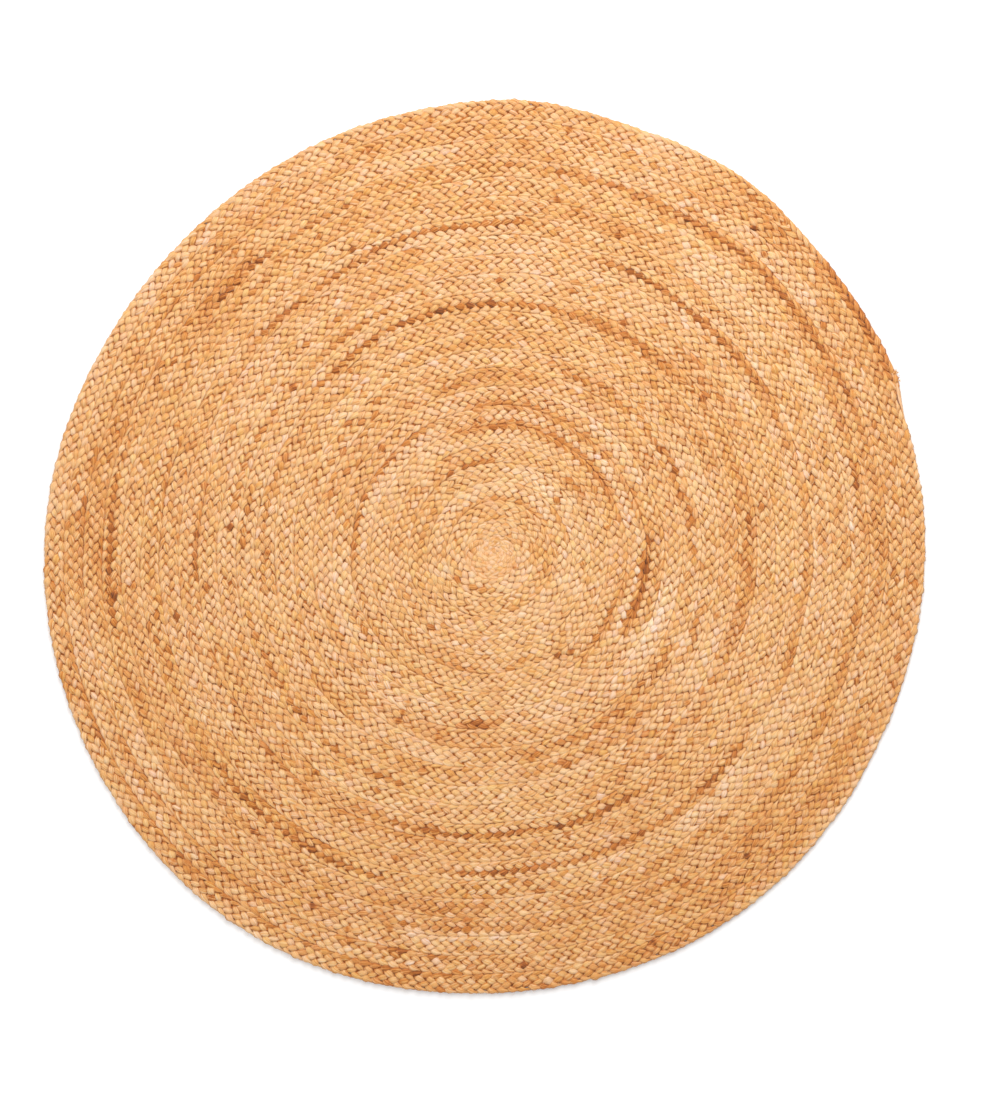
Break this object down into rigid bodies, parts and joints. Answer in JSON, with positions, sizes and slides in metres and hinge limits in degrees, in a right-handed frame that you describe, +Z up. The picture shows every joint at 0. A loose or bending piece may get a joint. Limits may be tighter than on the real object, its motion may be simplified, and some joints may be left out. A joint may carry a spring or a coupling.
{
  "type": "round braided jute rug",
  "caption": "Flat round floor rug made of one wide jute plait wound in a spiral and sewn edge to edge, its end tapering off on the rim.",
  "frame": {"origin": "middle of the rug's box, on its underside", "axes": "+Z up through the thickness, the flat underside facing -Z; seen from above with +Y up the plait ends at the right of the rim, a little above +X"},
  "size_m": [1.1948, 1.2128, 0.01],
  "materials": {
    "jute_plait": "matt natural jute fibre, unevenly toned from pale straw to orange brown"
  },
  "bodies": {
    "root": {"braided_rug": "jute_plait"}
  },
  "joints": []
}
